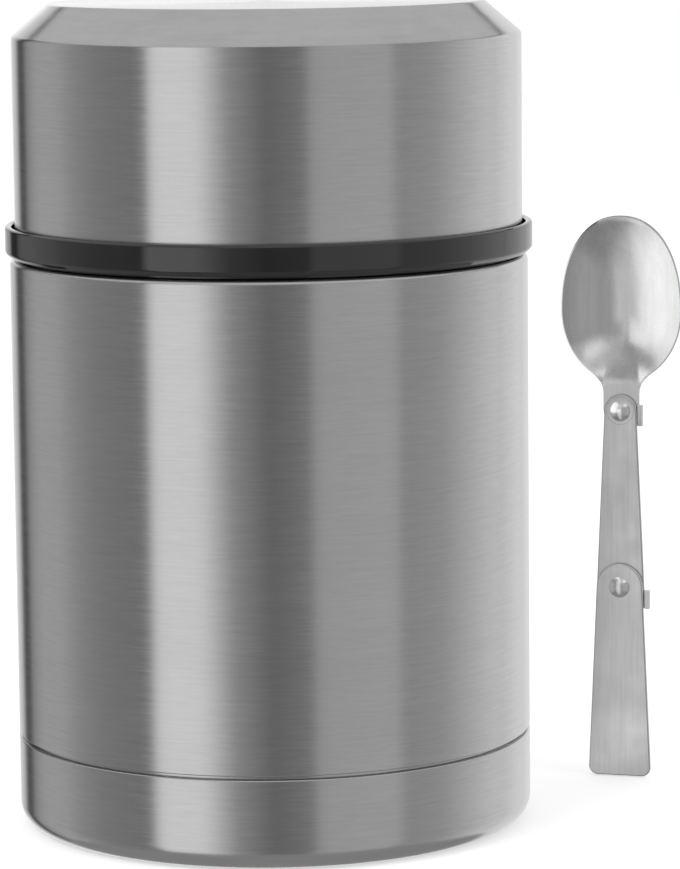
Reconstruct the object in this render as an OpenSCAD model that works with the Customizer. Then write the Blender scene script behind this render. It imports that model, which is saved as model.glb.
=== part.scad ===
// Insulated food jar: a double-walled steel vessel with a black collar, a screw-on cup lid,
// a vented screw stopper under it, and a three-piece folding spoon that stands beside the jar.
// The jar stands on z = 0 with its axis on Z. Lengths are in millimetres.

/* [Body] */
// Outer radius of the brushed body and of the base cap
body_r = 55; // [54:0.5:57]
// Thickness of the outer steel wall
body_wall = 0.8; // [0.5:0.1:1.2]
// Height of the shoulder on which the collar sits
shoulder_z = 121.5; // [100:0.5:160]
// Radius of the bend at the shoulder's edge
shoulder_round = 1.5; // [1.3:0.1:2.5]
// Height of the neck above the shoulder
neck_h = 21.7; // [19:0.1:26]

/* [Base cap] */
// Height of the pressed base cap
base_cap_h = 19.2; // [14:0.2:30]
// Thickness of the base cap's steel
cap_wall = 1; // [0.8:0.1:1.4]
// Radius of the rounded edge at the foot
foot_round = 4.7; // [3:0.1:7]
// Height of the groove between base cap and body
groove_h = 0.7; // [0.4:0.1:1.5]
// Radius of the raised panel inside the foot ring
foot_panel_r = 44; // [35:0.5:46]
// Height of that panel above the floor
foot_panel_h = 2.2; // [1.2:0.1:2.8]

/* [Inner vessel] */
// Width of the vacuum space round the vessel
vacuum_gap = 4.2; // [3:0.1:5]
// Thickness of the inner steel wall
vessel_wall = 0.8; // [0.5:0.1:1]
// Height of the vessel's underside above the floor
vessel_z = 12; // [11.4:0.1:18]
// Outer radius of the vessel's bottom edge
vessel_round = 12; // [6:0.5:20]
// Gap between the outer neck and the vessel's neck
neck_gap = 2.9; // [2:0.1:3.5]
// Radius of the bend between the neck and the vessel's shoulder
throat_round = 2.5; // [1.5:0.1:3.2]
// How far the rolled mouth rim reaches down over the neck
rim_drop = 1.6; // [1.2:0.1:2.4]

/* [Collar] */
// How far the collar ring stands out past the body
collar_proud = 1; // [0.5:0.1:2]
// Thickness of the collar's flange
flange_t = 2.7; // [2:0.1:4]
// Height of the lip that stands up round the lid
lip_h = 4.2; // [2:0.1:8]
// Thickness of that lip
lip_wall = 1.5; // [0.8:0.1:1.7]
// Thickness of the sleeve that carries the lid's thread
sleeve_wall = 2.35; // [1.8:0.05:2.8]
// Height of the shadow gap under the collar's edge
shadow_gap = 0.4; // [0.2:0.1:1]
// Width of the chamfer above that gap
collar_chamfer = 1; // [0.4:0.1:1.4]

/* [Lid] */
// Clearance between the lid and the collar's lip
lid_gap = 0.65; // [0.4:0.05:1]
// Height of the cup lid
lid_h = 50.5; // [45:0.5:70]
// Thickness of the lid's steel
lid_wall = 0.8; // [0.5:0.1:1]
// Height of the chamfer round the top
chamfer_h = 6.9; // [4:0.1:9]
// Width of that chamfer
chamfer_w = 8; // [4:0.1:12]
// Thickness of the moulded inner cup
liner_wall = 1.6; // [1.2:0.1:2]
// Room for the thread between the inner cup and the collar's sleeve
thread_gap = 1.6; // [1.4:0.1:2]
// Thickness of the insulating disc under the lid's top
lid_foam_t = 6.4; // [4:0.1:9]
// Distance of that disc's edge from the flat top's edge
lid_foam_in = 4.85; // [3:0.05:12]

/* [Stopper] */
// How far the cap's edge lies inside the mouth rim's
cap_in = 1.3; // [0.5:0.1:3]
// Thickness of the stopper's cap
cap_t = 5.6; // [4.6:0.1:7]
// Depth of the plug below the cap
plug_depth = 25; // [22:0.5:32]
// Clearance between plug and mouth, which the thread takes up
plug_gap = 1.2; // [0.8:0.1:1.6]
// Thickness of the plug's wall
plug_wall = 2; // [1.6:0.1:3]
// Thickness of the plate that closes the plug
plug_base_t = 1.5; // [1:0.1:2.5]
// Height of the sealing ring above the plug's lower end
gasket_up = 3; // [2.4:0.1:5]
// Height of the sealing ring in the plug's groove
gasket_h = 3; // [2:0.1:4]
// Depth of the groove that holds the sealing ring
gasket_in = 1; // [0.6:0.1:1.2]
// Number of finger grips round the cap
grip_count = 24; // [12:1:36]
// Radius of each finger grip
grip_r = 3; // [2:0.1:4]
// How deep each finger grip cuts into the cap
grip_depth = 0.9; // [0.4:0.1:1.4]

/* [Vent] */
// Radius of the push button
button_r = 9; // [7:0.1:12]
// Height of the button above the cap
button_proud = 1.5; // [1.2:0.1:2.5]
// How far the button travels
button_travel = 2; // [1:0.1:3]
// Height of the spring when the button is pressed down
spring_closed = 5; // [4.6:0.1:7]
// Radius of the valve's stem
stem_r = 2; // [1.5:0.1:2.4]
// Radius of the valve disc
valve_r = 7; // [5.6:0.1:10]
// Thickness of the valve disc
valve_t = 2; // [1.2:0.1:3]
// Radius of the spring's coil, at the middle of its wire
coil_r = 5.4; // [4.6:0.1:6.2]
// Radius of the spring's wire
wire_r = 0.45; // [0.3:0.05:0.6]

/* [Spoon] */
// Distance of the spoon's centre line from the jar's axis along X
spoon_x = 77.2; // [76:0.2:120]
// Distance of the spoon behind the jar's axis
spoon_y = 35; // [34:0.5:60]
// How far the spoon is turned to face across the jar, in degrees
spoon_turn = 16; // [15:0.5:25]
// Thickness of the spoon's steel
leaf_t = 1; // [0.8:0.1:1.2]
// Length of the handle link below its rivet
handle_len = 42.8; // [36:0.2:45]
// Distance between the two rivets
arm_len = 39.5; // [38:0.5:60]
// Distance from the upper rivet to the tip of the bowl
bowl_reach = 43.4; // [42:0.1:46]
// Width of the bowl
bowl_w = 27.2; // [24:0.2:32]
// Depth of the bowl's hollow
bowl_depth = 6.5; // [4:0.1:9]
// Distance from the bowl's tip to its widest place
tip_len = 21.2; // [18:0.1:22]
// Width of the bowl's neck
spoon_neck_w = 8; // [7:0.1:8.4]
// Width of the arm at the upper rivet
arm_top_w = 7.2; // [7:0.1:8]
// Width of the arm at the lower rivet
arm_low_w = 10.8; // [9:0.1:11.4]
// Width of the handle at its rivet
handle_top_w = 10.4; // [9:0.1:11.4]
// Width of the handle at its foot
handle_low_w = 14; // [11:0.1:15]
// Radius of the handle's lower corners
handle_corner = 2; // [1:0.1:4]
// Radius of each rivet's shank
rivet_r = 1.5; // [1.2:0.1:1.8]
// Radius of each rivet's domed head
rivet_head_r = 2.3; // [2:0.1:2.6]
// Height of each domed head
rivet_head_h = 1; // [0.8:0.1:1.1]
// Length of the stop tab beside the upper rivet
tab_1_len = 4.6; // [3:0.1:6]
// Length of the stop tab beside the lower rivet
tab_2_len = 4; // [3:0.1:6]

/* [Hidden] */

$fn = 96;
eps = 0.01;

// clearances
slip = 0.05;
seat = 0.3;
leaf_gap = 0.1;

// body and base
skirt_r = body_r - cap_wall - slip;
body_z = base_cap_h + groove_h;
skirt_up = 0.7;
skirt_z = foot_round + skirt_up;
step_round = 0.3;
top_edge = 0.4;
plate_up = 0.6;
plate_z = skirt_z + plate_up;
plate_t = 0.8;
plate_r = skirt_r - body_wall;
plate_rim_h = 4;
dimple_r = 7;
dimple_h = 1.4;
bead_r = 3;
bead_h = 1;
getter_r = 7;
getter_h = 2.4;
getter_lip = 1;
getter_cup = 0.8;
getter_at = 27;

// radii of what nests round the mouth, from the outside in
collar_r = body_r + collar_proud;
lid_r = collar_r - lip_wall - lid_gap;
liner_gap = 0.45;
liner_r = lid_r - lid_wall - liner_gap;
sleeve_r = liner_r - liner_wall - thread_gap;
bore_r = sleeve_r - sleeve_wall;
neck_r = bore_r - slip;
throat_r = neck_r - body_wall - neck_gap;
mouth_r = throat_r - vessel_wall;

// vessel
vessel_r = body_r - body_wall - vacuum_gap;
vessel_top = shoulder_z - body_wall - vacuum_gap;
vessel_shoulder = vessel_r - throat_r - throat_round;
rim_z = shoulder_z + neck_h;
rim_r = neck_r + vessel_wall;

// collar
flange_z = shoulder_z + flange_t;
lip_z = flange_z + lip_h;
sleeve_edge = 0.6;
sleeve_top = rim_z - rim_drop - sleeve_edge;
lip_edge = 0.5;
relief_w = 2;
seal_in = 1;
seal_r = (sleeve_r + body_r) / 2 - seal_in;
seal_w = 1.8;
seal_h = 1.2;
seal_edge = 0.3;

// lid
lid_z = flange_z + seat;
lid_top = lid_z + lid_h;
bend_r = 1.2;
foam_z = lid_top - lid_wall - seat - lid_foam_t;
liner_top = foam_z - seat;
liner_round = 8;
liner_foot_h = 2.4;
lid_foam_r = lid_r - chamfer_w - lid_foam_in;
foam_edge = 1;

// stopper
cap_r = rim_r - cap_in;
cap_z = rim_z + seat;
cap_top = cap_z + cap_t;
cap_round = 1.5;
cap_low_round = 0.8;
plug_r = mouth_r - plug_gap;
plug_in = plug_r - plug_wall;
plug_z = cap_z - plug_depth;
roof_t = 2;
gasket_z = plug_z + gasket_up;
gasket_edge = 0.5;
hub_wall = 1.9;
hub_r = stem_r + hub_wall;

// vent
bezel_gap = 0.35;
bezel_w = 3.6;
bezel_t = 0.8;
bezel_edge = 0.4;
button_skirt = 2.2;
button_low = cap_top - button_skirt;
button_edge = 0.6;
flange_w = 0.8;
flange_in = 0.2;
well_r = button_r + flange_w + seat;
spring_recess = 1.2;
well_z = button_low + spring_recess - button_travel - spring_closed;
button_rim = 1.4;
recess_r = button_r - button_rim;
boss_wall = 1.2;
boss_r = stem_r + boss_wall;
button_dish = 0.5;
dish_r = 40;
stem_in = 0.3;
stem_top = cap_top + stem_in;
valve_top = plug_z - leaf_gap;
clip_t = 0.8;
clip_w = 2.6;
stem_tail = 1;
stem_edge = 0.5;
stem_low = valve_top - valve_t - clip_t - stem_tail;
air_gap = 1.6;
air_hole_r = stem_r + air_gap;

// spoon: local x runs across it, local y away from the viewer, local z up
arm_y = -leaf_t - leaf_gap;
handle_y = 2 * arm_y;
lower_rivet_z = handle_len;
upper_rivet_z = lower_rivet_z + arm_len;
bowl_z = upper_rivet_z + bowl_reach - tip_len;
heel_gap = 5.2;
heel_end = bowl_z - upper_rivet_z - heel_gap;
heel_in = 1;
heel_len = heel_end - heel_in;
heel_flare = 1.2;
heel_lap = 0.5;
rim_land = 0.955;
BOWL_POWER = 2.2;
tail_h = 0.5;
tail_in = 0.4;
tail_r = rivet_head_r - tail_in;
tab_t = 0.95;
tab_bend = 0.5;
tab_root = 1;
tab_1_gap = 0.35;
tab_2_gap = 0.55;
tab_1_up = 1.3;
tab_2_down = 0.7;
BOWL_SIDES = 60;
BOWL_RINGS = [1, rim_land, 0.9, 0.81, 0.69, 0.54, 0.37, 0.19];

// ---------------------------------------------------------------- shared shapes

// Half-section of a drum from the axis to radius r, with round outer corners.
module drum_section(r, z0, z1, low_round = 0, top_round = 0) {
    translate([0, z0 + low_round]) square([r, z1 - z0 - low_round - top_round]);
    translate([0, z0]) square([r - max(low_round, top_round), z1 - z0]);
    if (low_round > 0) {
        translate([0, z0]) square([r - low_round, low_round + eps]);
        translate([r - low_round, z0 + low_round]) circle(low_round);
    }
    if (top_round > 0) {
        translate([0, z1 - top_round - eps]) square([r - top_round, top_round + eps]);
        translate([r - top_round, z1 - top_round]) circle(top_round);
    }
}

// Half-section of a plain ring.
module ring_section(r0, r1, z0, z1) {
    translate([r0, z0]) square([r1 - r0, z1 - z0]);
}

// Fills the inner corner at [r, z] between a wall going up and a floor going out.
module inner_fillet(r, z, round) {
    difference() {
        translate([r - eps, z - eps]) square(round + eps);
        translate([r + round, z + round]) circle(round);
    }
}

// A ring with round edges, such as a seal.
module soft_ring(r0, r1, z0, z1, round) {
    rotate_extrude() difference() {
        drum_section(r1, z0, z1, round, round);
        ring_section(-eps, r0, z0 - eps, z1 + eps);
    }
}

// Points of an arc that rounds the corner at b between a and c.
function unit(v) = v / norm(v);
function corner(a, b, c, r, n = 6) =
    let (u = unit(a - b), w = unit(c - b))
    let (half = acos(u * w) / 2)
    let (centre = b + unit(u + w) * r / sin(half))
    let (from = b + u * r / tan(half) - centre, to = b + w * r / tan(half) - centre)
    [for (i = [0:n]) centre + r * unit(from * (1 - i / n) + to * i / n)];

// ---------------------------------------------------------------- fixed pieces of the jar

module outer_shell() {
    color("silver") rotate_extrude() difference() {
        union() {
            drum_section(body_r, body_z, shoulder_z, step_round, shoulder_round);
            ring_section(0, neck_r, shoulder_z - eps, rim_z - vessel_wall);
            ring_section(0, skirt_r, skirt_z, body_z + body_wall);
        }
        drum_section(body_r - body_wall, body_z + body_wall, shoulder_z - body_wall,
            0, shoulder_round - body_wall);
        ring_section(-eps, neck_r - body_wall, shoulder_z - 2 * body_wall, rim_z);
        ring_section(-eps, skirt_r - body_wall, skirt_z - eps, body_z + body_wall + eps);
    }
}

module inner_vessel() {
    color("gainsboro") rotate_extrude() difference() {
        union() {
            drum_section(vessel_r, vessel_z, vessel_top, vessel_round, vessel_shoulder);
            ring_section(0, throat_r, vessel_top - eps, rim_z - vessel_wall / 2);
            inner_fillet(throat_r, vessel_top, throat_round);
            drum_section(rim_r, rim_z - rim_drop, rim_z, 0, vessel_wall - eps);
        }
        drum_section(vessel_r - vessel_wall, vessel_z + vessel_wall, vessel_top - vessel_wall,
            vessel_round - vessel_wall, vessel_shoulder - vessel_wall);
        ring_section(-eps, mouth_r, vessel_top - 2 * vessel_wall, rim_z + eps);
        inner_fillet(mouth_r, vessel_top - vessel_wall, throat_round + vessel_wall);
        ring_section(throat_r, neck_r, rim_z - rim_drop - eps, rim_z - vessel_wall);
    }
}

module vessel_bottom() {
    color("lightgray") rotate_extrude() difference() {
        union() {
            ring_section(0, plate_r, plate_z, plate_z + plate_t);
            ring_section(plate_r - plate_t, plate_r, plate_z, plate_z + plate_rim_h);
            ring_section(0, dimple_r + plate_t, plate_z, plate_z + dimple_h + plate_t);
        }
        ring_section(-eps, dimple_r, plate_z - eps, plate_z + dimple_h);
    }
}

module getter() {
    color("darkgray") translate([getter_at, 0, 0]) rotate_extrude() difference() {
        ring_section(0, getter_r, plate_z + plate_t, plate_z + plate_t + getter_h);
        ring_section(-eps, getter_r - getter_lip, plate_z + plate_t + getter_h - getter_cup,
            plate_z + plate_t + getter_h + eps);
    }
}

module vacuum_seal() {
    color("dimgray") rotate_extrude()
        drum_section(bead_r, plate_z + dimple_h - bead_h, plate_z + dimple_h, bead_h / 2, 0);
}

module base_cap() {
    in_r = body_r - cap_wall;
    color("silver") rotate_extrude() difference() {
        drum_section(body_r, 0, base_cap_h, foot_round, top_edge);
        drum_section(in_r, cap_wall, base_cap_h + cap_wall, foot_round - cap_wall, 0);
        ring_section(-eps, foot_panel_r, -eps, foot_panel_h);
    }
    color("silver") rotate_extrude() difference() {
        drum_section(foot_panel_r + cap_wall, cap_wall / 2, foot_panel_h + cap_wall, 0, cap_wall);
        ring_section(-eps, foot_panel_r, -eps, foot_panel_h);
    }
}

module collar_ring() {
    color([0.07, 0.07, 0.07]) rotate_extrude() difference() {
        union() {
            drum_section(collar_r, shoulder_z, lip_z, 0, lip_edge);
            drum_section(sleeve_r, flange_z - eps, sleeve_top, 0, sleeve_edge);
        }
        ring_section(-eps, bore_r, shoulder_z - eps, sleeve_top + eps);
        ring_section(sleeve_r, collar_r - lip_wall, flange_z, lip_z + eps);
        ring_section(body_r - relief_w, collar_r + eps, shoulder_z - eps, shoulder_z + shadow_gap);
        translate([collar_r, shoulder_z + shadow_gap]) circle(collar_chamfer, $fn = 4);
        ring_section(seal_r - seal_w / 2, seal_r + seal_w / 2, shoulder_z - eps, shoulder_z + seal_h);
    }
}

module collar_seal() {
    color("gray")
        soft_ring(seal_r - seal_w / 2, seal_r + seal_w / 2, shoulder_z, shoulder_z + seal_h, seal_edge);
}

// ---------------------------------------------------------------- cup lid

// Half-section of the lid's outside taken in by w all round, from z0 up.
module lid_outline(w, z0) {
    wall_turn = atan2(chamfer_w, chamfer_h);
    low = [lid_r - w, lid_top - chamfer_h - w * tan(wall_turn / 2)];
    high = [lid_r - chamfer_w - w * tan((90 - wall_turn) / 2), lid_top - w];
    foot = [lid_r - w, z0];
    middle = [0, lid_top - w];
    polygon(concat([[0, z0], foot], corner(foot, low, high, bend_r - w / 2),
        corner(low, high, middle, bend_r - w / 2), [middle]));
}

module lid_shell() {
    color("silver") rotate_extrude() {
        difference() {
            lid_outline(0, lid_z);
            lid_outline(lid_wall, lid_z - eps);
        }
        ring_section(liner_r, lid_r - lid_wall / 2, lid_z, lid_z + lid_wall);
    }
}

module lid_liner() {
    low = lid_z + lid_wall;
    color([0.12, 0.12, 0.12]) rotate_extrude() difference() {
        union() {
            drum_section(liner_r, low, liner_top, 0, liner_round);
            ring_section(0, lid_r - lid_wall, low, low + liner_foot_h);
        }
        drum_section(liner_r - liner_wall, low - eps, liner_top - liner_wall,
            0, liner_round - liner_wall);
    }
}

module lid_foam() {
    color("ivory") rotate_extrude()
        drum_section(lid_foam_r, foam_z, foam_z + lid_foam_t, foam_edge, foam_edge);
}

// ---------------------------------------------------------------- stopper and vent

module stopper_body() {
    color([0.1, 0.1, 0.1]) difference() {
        rotate_extrude() difference() {
            union() {
                drum_section(cap_r, cap_z, cap_top, cap_low_round, cap_round);
                ring_section(0, plug_r, plug_z, cap_z + cap_low_round + eps);
            }
            ring_section(hub_r, plug_in, plug_z - eps, well_z - roof_t);
            ring_section(well_r + roof_t, plug_in, plug_z, cap_z - roof_t);
            ring_section(-eps, well_r, well_z, cap_top + eps);
            ring_section(-eps, stem_r + slip, plug_z - eps, cap_top);
            ring_section(plug_r - gasket_in, cap_r, gasket_z, gasket_z + gasket_h);
            ring_section(-eps, hub_r + eps, plug_z - eps, plug_z + plug_base_t);
        }
        for (i = [0:grip_count - 1])
            rotate(i * 360 / grip_count)
                translate([cap_r + grip_r - grip_depth, 0, cap_z - eps])
                    cylinder(cap_t + 2 * eps, r = grip_r);
    }
}

module stopper_foam() {
    color("ivory")
        soft_ring(hub_r + seat, plug_in - seat, plug_z + plug_base_t + seat,
            well_z - roof_t - seat, foam_edge);
}

module stopper_base() {
    color([0.16, 0.16, 0.16]) rotate_extrude()
        ring_section(air_hole_r, plug_in, plug_z, plug_z + plug_base_t);
}

module stopper_gasket() {
    color("gainsboro")
        soft_ring(plug_r - gasket_in, mouth_r - seat, gasket_z, gasket_z + gasket_h, gasket_edge);
}

module button_bezel() {
    inner = button_r + bezel_gap;
    color("silver") rotate_extrude() difference() {
        drum_section(inner + bezel_w, cap_top, cap_top + bezel_t, 0, bezel_edge);
        ring_section(-eps, inner, cap_top - eps, cap_top + bezel_t + eps);
    }
}

module vent_button() {
    color("dimgray") difference() {
        rotate_extrude() difference() {
            union() {
                drum_section(button_r, button_low, cap_top + button_proud, 0, button_edge);
                ring_section(0, button_r + flange_w, button_low, cap_top - flange_in);
            }
            ring_section(boss_r, recess_r, button_low - eps, button_low + spring_recess);
            ring_section(-eps, stem_r, button_low - eps, stem_top);
        }
        translate([0, 0, cap_top + button_proud + dish_r - button_dish]) sphere(dish_r);
    }
}

module vent_stem() {
    color("lightgray") rotate_extrude() drum_section(stem_r, stem_low, stem_top, stem_edge, 0);
}

module vent_seal() {
    color("gainsboro") soft_ring(stem_r, valve_r, valve_top - valve_t, valve_top, stem_edge);
}

module stem_clip() {
    color("lightgray") rotate_extrude()
        ring_section(stem_r, stem_r + clip_w, valve_top - valve_t - clip_t, valve_top - valve_t);
}

// The coil's end turns lie flat and the turns between them rise evenly.
SPRING_TURNS = 4.5;
SPRING_STEPS = 72;
WIRE_SIDES = 8;
function rise(t) = min(1, max(0, (t - 0.14) / 0.72));
function coil_point(i, j, z0, z1) =
    let (t = i / SPRING_STEPS, turn = t * SPRING_TURNS * 360, side = j * 360 / WIRE_SIDES)
    let (r = coil_r + wire_r * cos(side))
    [r * cos(turn), r * sin(turn), z0 + wire_r + (z1 - z0 - 2 * wire_r) * rise(t) + wire_r * sin(side)];

module vent_spring() {
    z0 = well_z;
    z1 = button_low + spring_recess;
    n = WIRE_SIDES;
    points = [for (i = [0:SPRING_STEPS], j = [0:n - 1]) coil_point(i, j, z0, z1)];
    sides = [for (i = [0:SPRING_STEPS - 1], j = [0:n - 1])
        let (a = i * n + j, b = i * n + (j + 1) % n) [a, b, b + n, a + n]];
    start = [for (j = [0:n - 1]) n - 1 - j];
    end = [for (j = [0:n - 1]) SPRING_STEPS * n + j];
    color("silver") polyhedron(points, concat(sides, [start, end]));
}

// ---------------------------------------------------------------- folding spoon

// Stands the spoon beside the jar.
module spoon_place() {
    translate([spoon_x, spoon_y, 0]) rotate(-spoon_turn) children();
}

// A flat leaf of spoon steel whose front face lies at local y.
module leaf(y) {
    translate([0, y + leaf_t, 0]) rotate([90, 0, 0]) linear_extrude(leaf_t) children();
}

// Points of an arc about c from angle a0 to a1.
function arc(c, r, a0, a1, n) =
    [for (i = [0:n]) let (a = a0 + (a1 - a0) * i / n) c + r * [cos(a), sin(a)]];

// Outline of a link that widens from r0 at the origin to r1 at a distance d below.
module link_outline(r0, r1, d) {
    lean = asin((r1 - r0) / d);
    polygon(concat(arc([0, 0], r0, lean, 180 - lean, 24),
        arc([0, -d], r1, 180 - lean, 360 + lean, 32)));
}

// Outline of the handle: a round head at its rivet, and rounded corners at its foot.
module handle_outline() {
    low = handle_low_w / 2 - handle_corner;
    polygon(concat(arc([0, lower_rivet_z], handle_top_w / 2, 0, 180, 24),
        arc([-low, handle_corner], handle_corner, 180, 270, 8),
        arc([low, handle_corner], handle_corner, 270, 360, 8)));
}

// A lug bent forward at x = inner, that stops the leaf in front of the one at y.
module stop_tab(root, inner, y, z_top, length) {
    outer = inner + tab_t;
    front = y - leaf_t;
    translate([0, 0, z_top - length]) linear_extrude(length) {
        translate([root, y]) square([outer - root - tab_bend, leaf_t]);
        translate([root, y]) square([outer - root, leaf_t - tab_bend]);
        translate([outer - tab_bend, y + leaf_t - tab_bend]) circle(tab_bend, $fn = 32);
        translate([inner, front]) square([tab_t, leaf_t + tab_bend]);
    }
}

function blend(t) = let (k = min(1, max(0, t))) k * k * (3 - 2 * k);
// Depth of the hollow at a share s of the way out, inside the rim's flat land.
function dish(s) = bowl_depth * (1 - pow(min(1, s / rim_land), BOWL_POWER));
// Rim of the bowl at angle a: a full round tip, a rounder heel, and a flare into the neck.
function rim(a) =
    let (half = bowl_w / 2, c = cos(a), s = sin(a))
    s >= 0
        ? [half * sign(c) * pow(abs(c), 2 / BOWL_POWER), tip_len * pow(s, 2 / BOWL_POWER)]
        : let (u = half * c, flare = blend((half / 2 - abs(u)) / (half / 2 - spoon_neck_w / 2)))
            [u, -min(heel_end, -heel_len * s + heel_flare * flare)];

module bowl_dish() {
    n = BOWL_SIDES;
    rings = len(BOWL_RINGS);
    face_points = [for (s = BOWL_RINGS, i = [0:n - 1])
        let (p = rim(i * 360 / n)) [s * p[0], dish(s), bowl_z + s * p[1]]];
    front = concat(face_points, [[0, bowl_depth, bowl_z]]);
    count = len(front);
    back = [for (p = front) p + [0, leaf_t, 0]];
    last = (rings - 1) * n;
    front_faces = concat(
        [for (k = [0:rings - 2], i = [0:n - 1])
            let (a = k * n + i, b = k * n + (i + 1) % n) each [[b, a, a + n], [b, a + n, b + n]]],
        [for (i = [0:n - 1]) [last + (i + 1) % n, last + i, count - 1]]);
    back_faces = [for (f = front_faces) [f[2] + count, f[1] + count, f[0] + count]];
    edge_faces = [for (i = [0:n - 1])
        let (j = (i + 1) % n) each [[i, j, j + count], [i, j + count, i + count]]];
    polyhedron(concat(front, back), concat(front_faces, back_faces, edge_faces));
}

module spoon_bowl() {
    half = spoon_neck_w / 2;
    stop = arm_top_w / 2 + tab_1_gap;
    color("lightgray") spoon_place() {
        bowl_dish();
        leaf(0) difference() {
            union() {
                translate([0, upper_rivet_z]) circle(half);
                translate([-half, upper_rivet_z])
                    square([spoon_neck_w, bowl_z - heel_end - upper_rivet_z + heel_lap]);
            }
            translate([0, upper_rivet_z]) circle(rivet_r + slip);
        }
        stop_tab(rivet_r + tab_root, stop, 0, upper_rivet_z + tab_1_up, tab_1_len);
    }
}

module spoon_arm() {
    stop = handle_top_w / 2 + tab_2_gap;
    color("silver") spoon_place() {
        difference() {
            leaf(arm_y) difference() {
                translate([0, upper_rivet_z]) link_outline(arm_top_w / 2, arm_low_w / 2, arm_len);
                translate([0, upper_rivet_z]) circle(rivet_r);
                translate([0, lower_rivet_z]) circle(rivet_r);
            }
            countersink(lower_rivet_z, arm_y + leaf_t);
        }
        stop_tab(rivet_r + tab_root, stop, arm_y, lower_rivet_z - tab_2_down, tab_2_len);
    }
}

module spoon_handle() {
    color("silver") spoon_place() leaf(handle_y) difference() {
        handle_outline();
        translate([0, lower_rivet_z]) circle(rivet_r + slip);
    }
}

// The cone that a rivet's flush tail fills, so that the folded bowl passes behind it.
module countersink(z, y) {
    translate([0, y, z]) rotate([90, 0, 0]) cylinder(tail_h, r1 = tail_r, r2 = rivet_r);
}

// A rivet along local y: a domed head before the face at y0, and a shank that ends at y1.
module rivet(z, y0, y1) {
    dome_r = (rivet_head_r * rivet_head_r + rivet_head_h * rivet_head_h) / (2 * rivet_head_h);
    spoon_place() translate([0, y0, z]) rotate([90, 0, 0]) {
        intersection() {
            translate([0, 0, rivet_head_h - dome_r]) sphere(dome_r);
            cylinder(rivet_head_h, r = 2 * rivet_head_r);
        }
        translate([0, 0, y0 - y1]) cylinder(y1 - y0 + eps, r = rivet_r);
    }
}

module bowl_rivet() {
    back = leaf_t + slip;
    color("gainsboro") {
        rivet(upper_rivet_z, arm_y, back + eps);
        spoon_place() translate([0, back + tail_h, upper_rivet_z]) rotate([90, 0, 0])
            cylinder(tail_h, r = tail_r);
    }
}

module handle_rivet() {
    color("gainsboro") {
        rivet(lower_rivet_z, handle_y - slip, arm_y + leaf_t);
        spoon_place() countersink(lower_rivet_z, arm_y + leaf_t);
    }
}

// ---------------------------------------------------------------- nodes

outer_shell();
inner_vessel();
vessel_bottom();
getter();
vacuum_seal();
base_cap();
collar_ring();
collar_seal();
lid_shell();
lid_liner();
lid_foam();
stopper_body();
stopper_foam();
stopper_base();
stopper_gasket();
button_bezel();
vent_button();
vent_stem();
vent_spring();
vent_seal();
stem_clip();
spoon_bowl();
spoon_arm();
spoon_handle();
bowl_rivet();
handle_rivet();
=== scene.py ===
from math import atan2, cos, hypot, pi, radians, sin, sqrt, tau

import bmesh
import bpy
from mathutils import Matrix, Vector


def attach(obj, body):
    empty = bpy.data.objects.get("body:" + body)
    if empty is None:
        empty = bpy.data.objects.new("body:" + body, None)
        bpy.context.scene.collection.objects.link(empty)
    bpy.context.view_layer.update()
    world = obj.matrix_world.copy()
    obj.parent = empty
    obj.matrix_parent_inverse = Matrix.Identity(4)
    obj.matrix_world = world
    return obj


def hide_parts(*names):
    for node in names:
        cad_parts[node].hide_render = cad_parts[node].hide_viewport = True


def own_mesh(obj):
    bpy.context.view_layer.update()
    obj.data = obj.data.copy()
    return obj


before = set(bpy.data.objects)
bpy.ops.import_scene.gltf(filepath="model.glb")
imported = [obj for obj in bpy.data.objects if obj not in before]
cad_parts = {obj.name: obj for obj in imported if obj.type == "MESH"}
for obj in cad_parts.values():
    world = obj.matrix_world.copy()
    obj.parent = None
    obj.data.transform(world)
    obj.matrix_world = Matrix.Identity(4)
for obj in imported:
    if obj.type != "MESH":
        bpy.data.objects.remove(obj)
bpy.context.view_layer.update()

scene = bpy.context.scene
scene.view_settings.view_transform = "Standard"

# ---- Camera --------------------------------------------------------------------------
# A long lens just above the lid's height, tipped down a little and rolled by less than
# a degree, as on a tripod that does not stand quite level.
CAMERA_PLACE = (0.0147, -0.898, 0.2072)
TIPPED_DOWN = 7.91
ROLLED = -0.6
camera_data = bpy.data.cameras.new("camera")
camera_data.lens = 175.5
camera_data.sensor_width = 36
camera_data.clip_start = 0.01
camera = bpy.data.objects.new("camera", camera_data)
scene.collection.objects.link(camera)
camera.matrix_world = (
    Matrix.Translation(CAMERA_PLACE)
    @ Matrix.Rotation(radians(90 - TIPPED_DOWN), 4, "X")
    @ Matrix.Rotation(radians(ROLLED), 4, "Z")
)
scene.camera = camera

# ---- White room and paper ------------------------------------------------------------
# Even white light all round, and white paper under the jar. The paper is at full white to
# the camera, keeps the soft shadow at the jar's foot, and is clear from below.
ROOM_LIGHT = 0.62
PAPER_SIDE = 5
PAPER_DROP = 0.0002
PAPER_GLOW = 0.5


def math_node(tree, operation, first, second=None):
    node = tree.nodes.new("ShaderNodeMath")
    node.operation = operation
    for socket, value in zip(node.inputs, (first, second)):
        if isinstance(value, (int, float)):
            socket.default_value = value
        elif value is not None:
            tree.links.new(value, socket)
    return node.outputs[0]


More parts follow.
